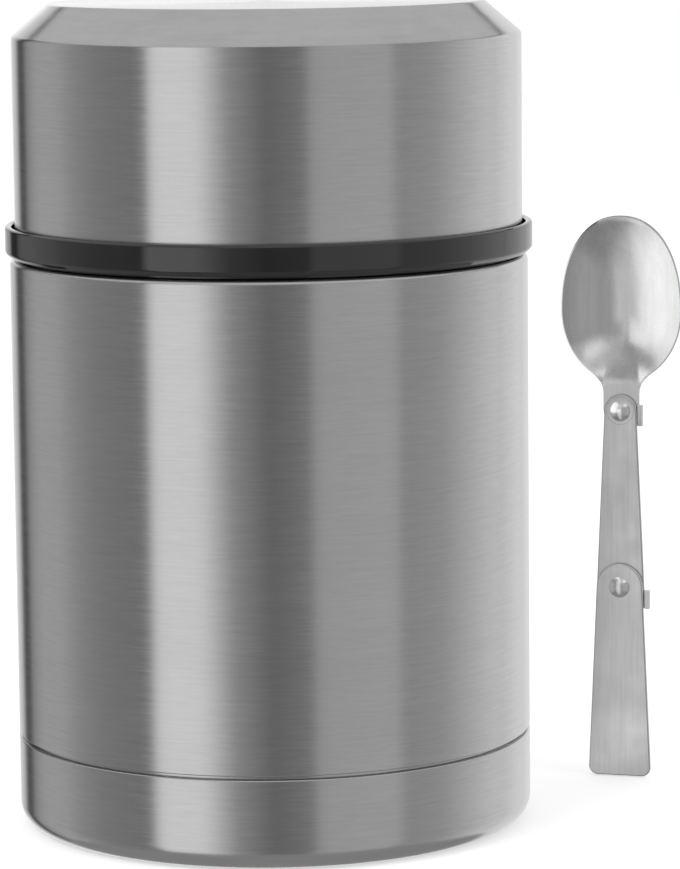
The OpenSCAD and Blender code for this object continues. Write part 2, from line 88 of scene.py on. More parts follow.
world = bpy.data.worlds.new("white_room")
world.use_nodes = True
scene.world = world
tree = world.node_tree
background = tree.nodes["Background"]
background.inputs["Color"].default_value = (1, 1, 1, 1)
path = tree.nodes.new("ShaderNodeLightPath")
seen = math_node(tree, "MAXIMUM", path.outputs["Is Camera Ray"], path.outputs["Is Glossy Ray"])
seen = math_node(tree, "MAXIMUM", seen, path.outputs["Is Transmission Ray"])
strength = tree.nodes.new("ShaderNodeMapRange")
strength.inputs["To Min"].default_value = ROOM_LIGHT
strength.inputs["To Max"].default_value = 1.0
tree.links.new(seen, strength.inputs["Value"])
tree.links.new(strength.outputs["Result"], background.inputs["Strength"])


def select_only(*pieces):
    """Selects these objects and nothing else, and works on the first."""
    bpy.ops.object.select_all(action="DESELECT")
    for piece in pieces:
        piece.select_set(True)
    if pieces:
        bpy.context.view_layer.objects.active = pieces[0]


def started(name, add_primitive, **sizes):
    """Adds a primitive with nothing else selected, names it and applies its place."""
    select_only()
    add_primitive(**sizes)
    piece = bpy.context.object
    piece.name = name
    bpy.ops.object.transform_apply()
    return piece


def grey(value):
    return (value, value, value, 1)


def principled(name, **sockets):
    """A material whose shader has these plain values on its own sockets."""
    material = bpy.data.materials.new(name)
    material.use_nodes = True
    shader = material.node_tree.nodes["Principled BSDF"]
    for socket, value in sockets.items():
        shader.inputs[socket.replace("_", " ")].default_value = value
    return material, material.node_tree, shader


def mixed_shader(tree, share, first, second):
    node = tree.nodes.new("ShaderNodeMixShader")
    for socket, value in zip(node.inputs, (share, first, second)):
        tree.links.new(value, socket)
    return node.outputs[0]


paper = started("paper", bpy.ops.mesh.primitive_plane_add, size=PAPER_SIDE,
                location=(0, 0, -PAPER_DROP))
paper.visible_glossy = False
paper_white, tree, shader = principled(
    "paper_white", Base_Color=grey(0.82), Roughness=0.9, Specular_IOR_Level=0.1)
glow = tree.nodes.new("ShaderNodeEmission")
glow.inputs["Strength"].default_value = PAPER_GLOW
bright_paper = tree.nodes.new("ShaderNodeAddShader")
tree.links.new(shader.outputs[0], bright_paper.inputs[0])
tree.links.new(glow.outputs[0], bright_paper.inputs[1])
to_camera = tree.nodes.new("ShaderNodeLightPath").outputs["Is Camera Ray"]
side = tree.nodes.new("ShaderNodeNewGeometry")
from_above = mixed_shader(tree, to_camera, shader.outputs[0], bright_paper.outputs[0])
tree.links.new(
    mixed_shader(tree, math_node(tree, "MULTIPLY", to_camera, side.outputs["Backfacing"]),
                 from_above, tree.nodes.new("ShaderNodeBsdfTransparent").outputs[0]),
    tree.nodes["Material Output"].inputs["Surface"])
paper.data.materials.append(paper_white)

# ---- Light tent ----------------------------------------------------------------------
# The tent that shiny ware is lit in: white cloth hung with grey cards, a roof, a floor,
# and a dark rail under the roof. Only the metal and the gloss see any of it.
TENT_R = 1.5
TENT_SIDES = 96
BRIGHTEST = 1.25
# Each card's edge is (degrees round from the front, brightness).
CARDS = (
    (-180, 1.15), (-168, 1.1), (-160, 0.72), (-151, 0.6), (-147, 0.08), (-140, 0.06),
    (-134, 0.34), (-122, 0.47), (-106, 0.46), (-95, 0.35), (-80, 0.27), (-55, 0.21),
    (-51, 0.92), (-30, 0.88), (-16, 0.34), (0, 0.17), (17, 0.24), (20, 0.45), (56, 0.49),
    (60, 0.33), (80, 0.4), (110, 0.7), (121, 0.76), (123, 0.66), (125, 0.78), (145, 0.88),
    (148, 0.78), (151, 0.86), (170, 0.84), (180, 1.15))


def hang(screen, material):
    """Hangs a part of the tent so that only glossy rays see it."""
    screen.data.materials.append(material)
    screen.visible_camera = False
    screen.visible_diffuse = False
    screen.visible_shadow = False
    screen.visible_transmission = False
    screen.visible_volume_scatter = False


def glowing(name, strength):
    cloth = bpy.data.materials.new(name)
    cloth.use_nodes = True
    tree = cloth.node_tree
    tree.nodes.remove(tree.nodes["Principled BSDF"])
    emission = tree.nodes.new("ShaderNodeEmission")
    emission.inputs["Strength"].default_value = strength
    tree.links.new(emission.outputs[0], tree.nodes["Material Output"].inputs["Surface"])
    return cloth, tree, emission


carded_cloth, tree, emission = glowing("carded_cloth", BRIGHTEST)
place = tree.nodes.new("ShaderNodeTexCoord")
turn = tree.nodes.new("ShaderNodeMapping")
turn.inputs["Rotation"].default_value = (0, 0, pi / 2)
round_tent = tree.nodes.new("ShaderNodeTexGradient")
round_tent.gradient_type = "RADIAL"
ramp = tree.nodes.new("ShaderNodeValToRGB")
stops = ramp.color_ramp.elements
while len(stops) < len(CARDS):
    stops.new(0.5)
for stop, (degrees, brightness) in zip(stops, CARDS):
    stop.position = (degrees + 180) / 360
    stop.color = grey(brightness / BRIGHTEST)
tree.links.new(place.outputs["Object"], turn.inputs["Vector"])
tree.links.new(turn.outputs["Vector"], round_tent.inputs["Vector"])
tree.links.new(round_tent.outputs["Fac"], ramp.inputs["Fac"])
tree.links.new(ramp.outputs["Color"], emission.inputs["Color"])

hang(started("tent_wall", bpy.ops.mesh.primitive_cylinder_add, vertices=TENT_SIDES, radius=TENT_R,
             depth=1.9, end_fill_type="NOTHING", location=(0, 0, -0.15)), carded_cloth)
hang(started("tent_rail", bpy.ops.mesh.primitive_cylinder_add, vertices=TENT_SIDES,
             radius=TENT_R - 0.02, depth=0.1, end_fill_type="NOTHING", location=(0, 0, 0.75)),
     glowing("dark_rail", 0.12)[0])
for name, height, brightness in (("tent_roof", 0.8, 0.6), ("tent_floor", -1.1, 0.3)):
    hang(started(name, bpy.ops.mesh.primitive_circle_add, vertices=TENT_SIDES, radius=TENT_R,
                 fill_type="NGON", location=(0, 0, height)), glowing(name, brightness)[0])

# ---- Soft lamps ----------------------------------------------------------------------
# Two large soft boxes, the stronger one at the left, light what is not metal. They aim at
# the middle of the jar and show in no reflection.
AIM = Vector((0, 0, 0.08))


def area_lamp(name, spot, direction, watts, width, height):
    lamp_data = bpy.data.lights.new(name, "AREA")
    lamp_data.shape = "RECTANGLE"
    lamp_data.size, lamp_data.size_y = width, height
    lamp_data.energy = watts
    lamp = bpy.data.objects.new(name, lamp_data)
    scene.collection.objects.link(lamp)
    lamp.location = spot
    lamp.rotation_euler = Vector(direction).to_track_quat("-Z", "Y").to_euler()
    lamp.visible_camera = False
    return lamp


for name, spot, watts, size in (
        ("left_softbox", Vector((-1.1, -1.0, 1.3)), 11, 1.2),
        ("right_softbox", Vector((1.3, -0.7, 0.9)), 5, 1.0)):
    area_lamp(name, spot, AIM - spot, watts, size, size).visible_glossy = False

# ---- Outer wall ----------------------------------------------------------------------
# Stainless steel, deep drawn in one with its shoulder and neck, then brushed round and
# round on a spindle. Below the groove a narrower skirt reaches down into the base cap.
MM = 0.001
WALL = 0.8
BODY_R = 55
GROOVE_TOP = 19.9
SHOULDER_Z = 121.5
NECK_R = 47
NECK_TOP = 142.4
SKIRT_R = 53.95
SKIRT_FOOT = 5.4

# POLE is the radius that stands for the axis. A corner is found to within NEAR, and what
# lies closer than SAME is merged. Edges stay crisp from SHARP_FROM degrees on.
SIDES = 256
POLE = 0.004
NEAR = 0.02
SAME = 0.001
SHARP_FROM = 35


def pick_ring(piece, radius, height):
    """Selects, in edit mode, the edges of one turned ring, given in millimetres."""
    bpy.ops.mesh.select_mode(type="EDGE")
    bpy.ops.mesh.select_all(action="DESELECT")
    mesh = bmesh.from_edit_mesh(piece.data)
    for vertex in mesh.verts:
        x, y, z = vertex.co / MM
        vertex.select = abs(hypot(x, y) - radius) < NEAR and abs(z - height) < NEAR
    for edge in mesh.edges:
        edge.select = edge.verts[0].select and edge.verts[1].select
    bmesh.update_edit_mesh(piece.data)


def turned(name, outline, sides=SIDES):
    """Turns a closed outline round the jar's axis. Its corners are (radius, height) in
    millimetres, and a third number eases that corner by so much on both sides."""
    corners = [(max(corner[0], POLE), corner[1]) for corner in outline]
    piece = started(name, bpy.ops.mesh.primitive_circle_add, vertices=sides,
                    radius=corners[0][0] * MM, location=(0, 0, corners[0][1] * MM))
    bpy.ops.object.mode_set(mode="EDIT")
    bpy.ops.mesh.select_all(action="SELECT")
    on_axis = corners[0][0] == POLE and corners[-1][0] == POLE
    for (r, z), (next_r, next_z) in zip(corners, corners[1:] + ([] if on_axis else corners[:1])):
        bpy.ops.mesh.extrude_region_move(
            TRANSFORM_OT_translate={"value": (0, 0, (next_z - z) * MM)})
        bpy.ops.transform.resize(value=(next_r / r, next_r / r, 1), center_override=(0, 0, 0))
    bpy.ops.mesh.select_all(action="SELECT")
    bpy.ops.mesh.remove_doubles(threshold=0.01 * MM)
    bpy.ops.mesh.normals_make_consistent(inside=False)
    for corner in outline:
        if len(corner) == 3:
            radius, height, easing = corner
            pick_ring(piece, radius, height)
            bpy.ops.mesh.bevel(offset=easing * MM, segments=4 if easing < 1 else 8,
                               affect="EDGES", clamp_overlap=False, loop_slide=False)
    bpy.ops.object.mode_set(mode="OBJECT")
    return piece


def apply_modifiers(piece):
    select_only(piece)
    for modifier in list(piece.modifiers):
        bpy.ops.object.modifier_apply(modifier=modifier.name)


def smooth(piece):
    """Merges what lies in one place, then shades smooth with crisp edges, and with flat
    faces kept flat beside eased ones."""
    select_only(piece)
    bpy.ops.object.mode_set(mode="EDIT")
    bpy.ops.mesh.select_all(action="SELECT")
    bpy.ops.mesh.remove_doubles(threshold=SAME * MM)
    bpy.ops.mesh.dissolve_degenerate(threshold=SAME * MM)
    bpy.ops.object.mode_set(mode="OBJECT")
    bpy.ops.object.shade_smooth_by_angle(angle=radians(SHARP_FROM))
    evened = piece.modifiers.new("evened", "WEIGHTED_NORMAL")
    evened.keep_sharp = True
    apply_modifiers(piece)


def fit(piece, material, body, slot, *nodes):
    """Smooths a finished piece and gives it its material and its place in the frame."""
    smooth(piece)
    piece.data.materials.clear()
    piece.data.materials.append(material)
    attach(piece, body)
    if nodes:
        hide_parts(*nodes)


def group_of(name, inputs, outputs):
    """An empty node group with float inputs and outputs, and a Vector input."""
    group = bpy.data.node_groups.new(name, "ShaderNodeTree")
    group.interface.new_socket("Vector", in_out="INPUT", socket_type="NodeSocketVector")
    for socket in inputs:
        group.interface.new_socket(socket, in_out="INPUT", socket_type="NodeSocketFloat")
    for socket in outputs:
        group.interface.new_socket(socket, in_out="OUTPUT", socket_type="NodeSocketFloat")
    return group, group.nodes.new("NodeGroupInput"), group.nodes.new("NodeGroupOutput")


def placed(tree, group, **values):
    """Places a node group in a material with its own values."""
    node = tree.nodes.new("ShaderNodeGroup")
    node.node_tree = group
    for socket, value in values.items():
        node.inputs[socket].default_value = value
    return node


def times(tree, *values):
    product = values[0]
    for value in values[1:]:
        product = math_node(tree, "MULTIPLY", product, value)
    return product


def noise_node(tree, vector, scale=1.0, detail=3, rough=0.6):
    node = tree.nodes.new("ShaderNodeTexNoise")
    node.inputs["Scale"].default_value = scale
    node.inputs["Detail"].default_value = detail
    node.inputs["Roughness"].default_value = rough
    tree.links.new(vector, node.inputs["Vector"])
    return node.outputs["Fac"]


def combine(tree, x, y, z):
    node = tree.nodes.new("ShaderNodeCombineXYZ")
    for socket, value in zip(node.inputs, (x, y, z)):
        tree.links.new(value, socket)
    return node.outputs[0]


def split(tree, vector):
    node = tree.nodes.new("ShaderNodeSeparateXYZ")
    tree.links.new(vector, node.inputs[0])
    return node.outputs


# Brushing on a spindle: streaks that run round the axis. On a wall they stack up with
# the height, on a flat end they lie in circles. Fine streaks lie over coarser, shorter ones.
COARSE_SHORTER = 2.6
COARSE_DENSITY = 0.31
FINE_SHARE = 0.6
HAZE_ROUND = 22.0
HAZE_UP = 60.0
spun_strokes, given, result = group_of(
    "spun_strokes", ("Length", "Fineness"), ("Strokes", "Haze"))
length, fineness = given.outputs["Length"], given.outputs["Fineness"]
x, y, z = split(spun_strokes, given.outputs["Vector"])
radius = math_node(spun_strokes, "SQRT", math_node(
    spun_strokes, "ADD", times(spun_strokes, x, x), times(spun_strokes, y, y)))
level = math_node(spun_strokes, "ADD", z, radius)


def streaks(shorter, density):
    return noise_node(spun_strokes, combine(
        spun_strokes, times(spun_strokes, x, length, shorter),
        times(spun_strokes, y, length, shorter), times(spun_strokes, level, fineness, density)))


spun_strokes.links.new(
    math_node(spun_strokes, "ADD", times(spun_strokes, streaks(1, 1), FINE_SHARE),
              times(spun_strokes, streaks(COARSE_SHORTER, COARSE_DENSITY), 1 - FINE_SHARE)),
    result.inputs["Strokes"])
spun_strokes.links.new(
    noise_node(spun_strokes, combine(
        spun_strokes, times(spun_strokes, x, HAZE_ROUND), times(spun_strokes, y, HAZE_ROUND),
        times(spun_strokes, z, HAZE_UP)), rough=0.55), result.inputs["Haze"])


def ranged(tree, value, low, high, bottom=0.3, top=0.7):
    """Spreads a noise value between bottom and top over low to high."""
    node = tree.nodes.new("ShaderNodeMapRange")
    for socket, number in zip(("From Min", "From Max", "To Min", "To Max"),
                              (bottom, top, low, high)):
        node.inputs[socket].default_value = number
    tree.links.new(value, node.inputs["Value"])
    return node.outputs["Result"]


def blended(tree, share, first, second):
    """A colour between two, either of which may be the output of a node."""
    node = tree.nodes.new("ShaderNodeMix")
    node.data_type = "RGBA"
    tree.links.new(share, node.inputs["Factor"])
    for socket, colour in (("A", first), ("B", second)):
        if isinstance(colour, tuple):
            node.inputs[socket].default_value = colour
        else:
            tree.links.new(colour, node.inputs[socket])
    return node.outputs["Result"]


def bumped(tree, shader, height, depth, strength=0.5):
    node = tree.nodes.new("ShaderNodeBump")
    node.inputs["Distance"].default_value = depth
    node.inputs["Strength"].default_value = strength
    tree.links.new(height, node.inputs["Height"])
    tree.links.new(node.outputs["Normal"], shader.inputs["Normal"])


def spun_steel(name, dark, light, smoothest, roughest, fineness, depth, pull):
    """Steel brushed on a spindle. pull is how far the strokes draw a reflection out."""
    material, tree, shader = principled(
        name, Metallic=1.0, Anisotropic=pull, Anisotropic_Rotation=0.25)
    place = tree.nodes.new("ShaderNodeTexCoord")
    brushed = placed(tree, spun_strokes, Length=75, Fineness=fineness)
    tree.links.new(place.outputs["Object"], brushed.inputs["Vector"])
    tone = math_node(tree, "ADD", ranged(tree, brushed.outputs["Strokes"], 0.0, 0.75),
                     ranged(tree, brushed.outputs["Haze"], 0.0, 0.25))
    tree.links.new(blended(tree, tone, grey(dark), grey(light)), shader.inputs["Base Color"])
    tree.links.new(ranged(tree, brushed.outputs["Strokes"], smoothest, roughest),
                   shader.inputs["Roughness"])
    bumped(tree, shader, brushed.outputs["Strokes"], depth)
    round_axis = tree.nodes.new("ShaderNodeTangent")
    round_axis.direction_type = "RADIAL"
    round_axis.axis = "Z"
    tree.links.new(round_axis.outputs["Tangent"], shader.inputs["Tangent"])
    return material


brushed_steel = spun_steel("brushed_steel", dark=0.575, light=0.685, smoothest=0.17,
                           roughest=0.24, fineness=4300, depth=0.000012, pull=0.6)
fit(turned("outer_wall", [
    (SKIRT_R - WALL, SKIRT_FOOT, 0.2), (SKIRT_R, SKIRT_FOOT, 0.2), (SKIRT_R, GROOVE_TOP),
    (BODY_R, GROOVE_TOP, 0.3), (BODY_R, SHOULDER_Z, 1.5), (NECK_R, SHOULDER_Z, 0.6),
    (NECK_R, NECK_TOP), (NECK_R - WALL, NECK_TOP), (NECK_R - WALL, SHOULDER_Z - WALL, 1.4),
    (BODY_R - WALL, SHOULDER_Z - WALL, 0.7), (BODY_R - WALL, GROOVE_TOP + WALL, 0.3),
    (SKIRT_R - WALL, GROOVE_TOP + WALL, 0.3)]),
    brushed_steel, "jar", "brushed_steel", "outer_shell")

# ---- Base cap ------------------------------------------------------------------------
# A pressed steel cap, pushed on over the skirt. Its edge is rolled under to the foot, and
# a flat panel inside the foot ring is raised off the table.
CAP_TOP = 19.2
CAP_WALL = 1
PANEL_R = 44
PANEL_Z = 2.2
fit(turned("base_shell", [
    (0, PANEL_Z), (PANEL_R, PANEL_Z, 0.8), (PANEL_R + 1.2, 0, 0.8), (BODY_R, 0, 4.7),
    (BODY_R, CAP_TOP, 0.4), (BODY_R - CAP_WALL, CAP_TOP, 0.4), (BODY_R - CAP_WALL, CAP_WALL, 3.7),
    (PANEL_R + 1.6, CAP_WALL, 0.6), (PANEL_R + 0.6, PANEL_Z + CAP_WALL, 0.6),
    (0, PANEL_Z + CAP_WALL)]),
    brushed_steel, "jar", "brushed_steel", "base_cap")

# ---- Food vessel ---------------------------------------------------------------------
# The inner wall that holds the food: drawn steel, electropolished to a soft satin, hung
# from the outer neck by its rolled rim. A thread for the stopper is rolled into its neck.
VESSEL_R = 50
VESSEL_FLOOR = 12
VESSEL_SHOULDER = 116.5
MOUTH_R = 42.5
RIM_R = 47.8
RIM_LOW = 141.6
RIM_TOP = 143.2
SLEEVE_BORE = NECK_R + 0.05
PITCH = 5
RUN_OUT = 0.15
satin_steel = spun_steel("satin_steel", dark=0.7, light=0.78, smoothest=0.22, roughest=0.3,
                         fineness=900, depth=0.000004, pull=0.35)


def wound(name, section, pitch, turns, low):
    """Winds a small section, of (radius, height) corners, up round the jar's axis."""
    piece = started(name, bpy.ops.mesh.primitive_circle_add, vertices=len(section), radius=MM)
    for vertex, (radius, height) in zip(piece.data.vertices, section):
        vertex.co = Vector((radius, 0, low + height)) * MM
    winding = piece.modifiers.new("winding", "SCREW")
    winding.angle = tau * turns
    winding.screw_offset = pitch * turns * MM
    winding.steps = winding.render_steps = int(turns * 80)
    apply_modifiers(piece)
    bpy.ops.object.mode_set(mode="EDIT")
    bpy.ops.mesh.select_all(action="SELECT")
    bpy.ops.mesh.fill_holes(sides=0)
    bpy.ops.mesh.select_all(action="SELECT")
    bpy.ops.mesh.normals_make_consistent(inside=False)
    bpy.ops.object.mode_set(mode="OBJECT")
    return piece


def turns_up(vertex, pitch, low):
    """How many turns up a wound piece a vertex lies, and its height above the winding."""
    x, y, z = vertex.co / MM
    part = atan2(y, x) / tau % 1
    count = round((z - low) / pitch - part) + part
    return count, z - low - pitch * count


def thread(piece, root, crest, low, high):
    """Joins a thread to a turned piece. Its ridge is rooted a little way into the wall, and
    runs out to nothing at both ends."""
    width = 0.3 * PITCH
    depth = root - crest
    sunk = root + 0.8 * depth
    turns = (high - low) / PITCH
    ridge = wound("ridge", [
        (sunk, -width), (root, -width), (crest, -0.4 * width), (crest, 0.4 * width),
        (root, width), (sunk, width)], PITCH, turns, low)
    for vertex in ridge.data.vertices:
        count = turns_up(vertex, PITCH, low)[0]
        x, y, z = vertex.co
        radius = hypot(x, y)
        if abs(radius / MM - crest) < 0.6 * abs(depth):
            stands = max(0.0, min(1.0, min(count, turns - count) / RUN_OUT))
            under = root + 0.1 * depth
            fresh = (under + (crest - under) * stands) * MM
            vertex.co = (x * fresh / radius, y * fresh / radius, z)
    select_only(piece, ridge)
    bpy.ops.object.join()
    return piece


food_vessel = turned("food_vessel", [
    (0, VESSEL_FLOOR), (VESSEL_R, VESSEL_FLOOR, 12), (VESSEL_R, VESSEL_SHOULDER, 4.2),
    (MOUTH_R + WALL, VESSEL_SHOULDER, 2.5), (MOUTH_R + WALL, RIM_LOW), (SLEEVE_BORE, RIM_LOW),
    (RIM_R, RIM_LOW, 0.2), (RIM_R, RIM_TOP, 0.75), (MOUTH_R, RIM_TOP, 0.6),
    (MOUTH_R, VESSEL_SHOULDER - WALL, 3.3), (VESSEL_R - WALL, VESSEL_SHOULDER - WALL, 3.4),
    (VESSEL_R - WALL, VESSEL_FLOOR + WALL, 11.2), (0, VESSEL_FLOOR + WALL)])
thread(food_vessel, MOUTH_R, MOUTH_R - 0.55, 127, 138)
fit(food_vessel, satin_steel, "jar", "inner_steel", "inner_vessel")

# ---- Vacuum space --------------------------------------------------------------------
# The dished plate welded in below, the seal in its dimple and the getter cup on its upper
# face are plain turned steel, hidden once the base cap is on. The seal is dark solder glass.

# The skin of something moulded or poured: soft mottling, and a fine grain.
moulded_skin, given, result = group_of(
    "moulded_skin", ("Scale", "Detail", "Roughness", "Grain"), ("Mottle", "Grain"))
mottle = moulded_skin.nodes.new("ShaderNodeTexNoise")
for socket in ("Vector", "Scale", "Detail", "Roughness"):
    moulded_skin.links.new(given.outputs[socket], mottle.inputs[socket])
moulded_skin.links.new(mottle.outputs["Fac"], result.inputs["Mottle"])
grain = moulded_skin.nodes.new("ShaderNodeTexNoise")
grain.inputs["Detail"].default_value = 3
grain.inputs["Roughness"].default_value = 0.6
moulded_skin.links.new(given.outputs["Vector"], grain.inputs["Vector"])
moulded_skin.links.new(given.outputs["Grain"], grain.inputs["Scale"])
moulded_skin.links.new(grain.outputs["Fac"], result.inputs["Grain"])


def moulded(name, ior, mottle, tones, roughness, depth=0.0, strength=0.0, grain=0):
    """A moulded or poured material. mottle is its noise's (scale, detail, roughness). What
    stands proud by depth is the grain, or the mottling where it has no grain."""
    material, tree, shader = principled(name, IOR=ior)
    place = tree.nodes.new("ShaderNodeTexCoord")
    scale, detail, rough = mottle
    skin = placed(tree, moulded_skin, Scale=scale, Detail=detail, Roughness=rough, Grain=grain)
    tree.links.new(place.outputs["Object"], skin.inputs["Vector"])
    tone = ranged(tree, skin.outputs["Mottle"], 0, 1)
    dark, light = tones
    tree.links.new(blended(tree, tone, grey(dark), grey(light)), shader.inputs["Base Color"])
    smoothest, roughest = roughness
    tree.links.new(ranged(tree, skin.outputs["Mottle"], smoothest, roughest),
                   shader.inputs["Roughness"])
    if depth:
        proud = skin.outputs["Grain" if grain else "Mottle"]
        bumped(tree, shader, proud, depth, strength)
    return material


solder_glass = moulded("solder_glass", 1.6, (900, 4, 0.6), tones=(0.03, 0.07),
                       roughness=(0.15, 0.35))


def finish_node(node, material):
    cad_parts[node].data.materials.clear()
    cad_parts[node].data.materials.append(material)


finish_node("vessel_bottom", satin_steel)
finish_node("getter", satin_steel)
finish_node("vacuum_seal", solder_glass)

# ---- Collar ring ---------------------------------------------------------------------
# Glossy black moulding, pushed down over the neck. Its lip stands round the cup lid's
# foot, and the sleeve inside carries the lid's thread. A silicone ring seals it below.
COLLAR_R = 56
COLLAR_TOP = 128.4
LIP_BORE = 54.5
FLANGE_TOP = 124.2
STEP_R = 53
STEP_Z = 121.9
SLEEVE_R = 49.4
SLEEVE_TOP = 141
SEAL_BORE = 50.3
SEAL_R = 52.1
SEAL_TOP = 122.7
SEAL_GAP = 0.15
ring_gloss = moulded("ring_gloss", 1.8, (130, 3, 0.55), tones=(0.004, 0.006),
                     roughness=(0.03, 0.06), depth=0.00001, strength=0.2)
collar = turned("collar", [
    (SLEEVE_BORE, SHOULDER_Z, 0.3), (SEAL_BORE, SHOULDER_Z), (SEAL_BORE, SEAL_TOP),
    (SEAL_R, SEAL_TOP), (SEAL_R, SHOULDER_Z), (STEP_R, SHOULDER_Z), (STEP_R, STEP_Z),
    (COLLAR_R - 1, STEP_Z, 0.2), (COLLAR_R, STEP_Z + 1.05, 0.35), (COLLAR_R, COLLAR_TOP, 0.65),
    (LIP_BORE, COLLAR_TOP, 0.5), (LIP_BORE, FLANGE_TOP, 0.4), (SLEEVE_R, FLANGE_TOP, 0.5),
    (SLEEVE_R, SLEEVE_TOP, 0.6), (SLEEVE_BORE, SLEEVE_TOP, 0.4)])
thread(collar, SLEEVE_R, SLEEVE_R + 0.65, 128.5, 138.5)
fit(collar, ring_gloss, "jar", "black_gloss", "collar_ring")

silicone = moulded("silicone", 1.43, (260, 4, 0.6), tones=(0.66, 0.76),
                   roughness=(0.38, 0.55), depth=0.00004, strength=0.3)
fit(turned("collar_gasket", [
    (SEAL_BORE + SEAL_GAP, SHOULDER_Z, 0.35), (SEAL_R - SEAL_GAP, SHOULDER_Z, 0.35),
    (SEAL_R - SEAL_GAP, SEAL_TOP - 0.05, 0.45), (SEAL_BORE + SEAL_GAP, SEAL_TOP - 0.05, 0.45)]),
    silicone, "jar", "silicone", "collar_seal")

# ---- Cup lid -------------------------------------------------------------------------
# A drawn steel cup, brushed round and round, with its edge pressed to a broad chamfer and
# its foot folded in. A moulded inner cup carries the thread, over a disc of hard foam.
LID_R = 53.85
LID_TOP = 175
LID_FOOT = 124.5
CHAMFER_IN = 8
CHAMFER_DOWN = 6.9
FOLD = 1.25
LINER_TOP = 167.2
LINER_WALL = 1.6
LINER_R = 52.6
LINER_HEM = 127.7
FOAM_R = 41
FOAM_GAP = 0.3
fit(turned("lid_cup", [
    (0, LID_TOP), (LID_R - CHAMFER_IN, LID_TOP, 0.45), (LID_R, LID_TOP - CHAMFER_DOWN, 0.55),
    (LID_R, LID_FOOT, 0.25), (LID_R - FOLD, LID_FOOT, 0.2), (LID_R - FOLD, LID_FOOT + WALL, 0.1),
    (LID_R - WALL, LID_FOOT + WALL), (LID_R - WALL, LID_TOP - CHAMFER_DOWN - 0.36, 0.35),
    (LID_R - CHAMFER_IN - 0.3, LID_TOP - WALL, 0.35), (0, LID_TOP - WALL)]),
    brushed_steel, "lid", "brushed_steel", "lid_shell")

dark_plastic = moulded("dark_plastic", 1.5, (45, 3, 0.5), tones=(0.026, 0.036),
                       roughness=(0.34, 0.46), depth=0.00003, strength=0.4, grain=1800)
inner_cup = turned("inner_cup", [
    (0, LINER_TOP), (LINER_R, LINER_TOP, 8), (LINER_R, LINER_HEM, 0.3),
    (LID_R - WALL, LINER_HEM, 0.1), (LID_R - WALL, LID_FOOT + WALL, 0.1),
    (LINER_R - LINER_WALL, LID_FOOT + WALL, 0.3),
    (LINER_R - LINER_WALL, LINER_TOP - LINER_WALL, 6.4), (0, LINER_TOP - LINER_WALL)])
thread(inner_cup, LINER_R - LINER_WALL, LINER_R - LINER_WALL - 0.7, 129, 139)
fit(inner_cup, dark_plastic, "lid", "dark_plastic", "lid_liner")

hard_foam, tree, shader = principled("hard_foam", IOR=1.4)
place = tree.nodes.new("ShaderNodeTexCoord")
cells = tree.nodes.new("ShaderNodeTexVoronoi")
cells.inputs["Scale"].default_value = 1100
tree.links.new(place.outputs["Object"], cells.inputs["Vector"])
patches = noise_node(tree, place.outputs["Object"], 60, rough=0.5)
tree.links.new(blended(tree, patches, (0.72, 0.66, 0.5, 1), (0.84, 0.79, 0.64, 1)),
               shader.inputs["Base Color"])
tree.links.new(ranged(tree, patches, 0.8, 0.95), shader.inputs["Roughness"])
bumped(tree, shader, cells.outputs["Distance"], 0.0002, 0.7)
fit(turned("lid_insulation", [
    (0, LINER_TOP + FOAM_GAP), (FOAM_R, LINER_TOP + FOAM_GAP, 1),
    (FOAM_R, LID_TOP - WALL - FOAM_GAP, 1), (0, LID_TOP - WALL - FOAM_GAP)]),
    hard_foam, "lid_core", "foam", "lid_foam")

# ---- Stopper -------------------------------------------------------------------------
# A moulded plug that screws into the neck. Its cap has twenty-four finger grips, its skirt
# a short thread, and a lipped silicone ring low down seals it. Hard foam fills the plug.
GRIPS = 24
HEAD_R = 46.5
HEAD_TOP = 149.1
HEAD_LOW = 143.5
PLUG_R = 41.3
PLUG_WALL = 2
PLUG_FOOT = 118.5
GASKET_ROOT = 40.3
GASKET_LOW = 121.5
GASKET_TOP = 124.5
WELL_R = 10.1
WELL_FLOOR = 141.1
ROOF_Z = 141.5
TUBE_R = 3.9
TUBE_LOW = 120
ROD_BORE = 2.05
stopper = turned("stopper", [
    (ROD_BORE, WELL_FLOOR), (WELL_R, WELL_FLOOR, 0.3), (WELL_R, HEAD_TOP, 0.15),
    (HEAD_R, HEAD_TOP, 1.5), (HEAD_R, HEAD_LOW, 0.8), (PLUG_R, HEAD_LOW, 0.3),
    (PLUG_R, GASKET_TOP), (GASKET_ROOT, GASKET_TOP), (GASKET_ROOT, GASKET_LOW),
    (PLUG_R, GASKET_LOW), (PLUG_R, PLUG_FOOT, 0.2), (PLUG_R - PLUG_WALL, PLUG_FOOT),
    (PLUG_R - PLUG_WALL, ROOF_Z, 0.8), (WELL_R + PLUG_WALL, ROOF_Z, 0.8),
    (WELL_R + PLUG_WALL, WELL_FLOOR - PLUG_WALL, 0.8), (TUBE_R, WELL_FLOOR - PLUG_WALL, 0.5),
    (TUBE_R, TUBE_LOW), (ROD_BORE, TUBE_LOW)])
select_only()
bpy.ops.mesh.primitive_cylinder_add(
    vertices=48, radius=3 * MM, depth=12 * MM,
    location=((HEAD_R + 2.1) * MM, 0, (HEAD_LOW + 3) * MM))
finger = bpy.context.object
fingers = [finger]
for count in range(1, GRIPS):
    another = finger.copy()
    another.data = finger.data.copy()
    scene.collection.objects.link(another)
    another.matrix_world = Matrix.Rotation(tau * count / GRIPS, 4, "Z") @ finger.matrix_world
    fingers.append(another)
select_only(*fingers)
bpy.ops.object.join()


def cut_by(piece, tool, operation):
    """Cuts or joins a tool body, and takes the tool away."""
    cut = piece.modifiers.new("cut", "BOOLEAN")
    cut.operation = operation
    cut.object = tool
    apply_modifiers(piece)
    bpy.data.objects.remove(tool)


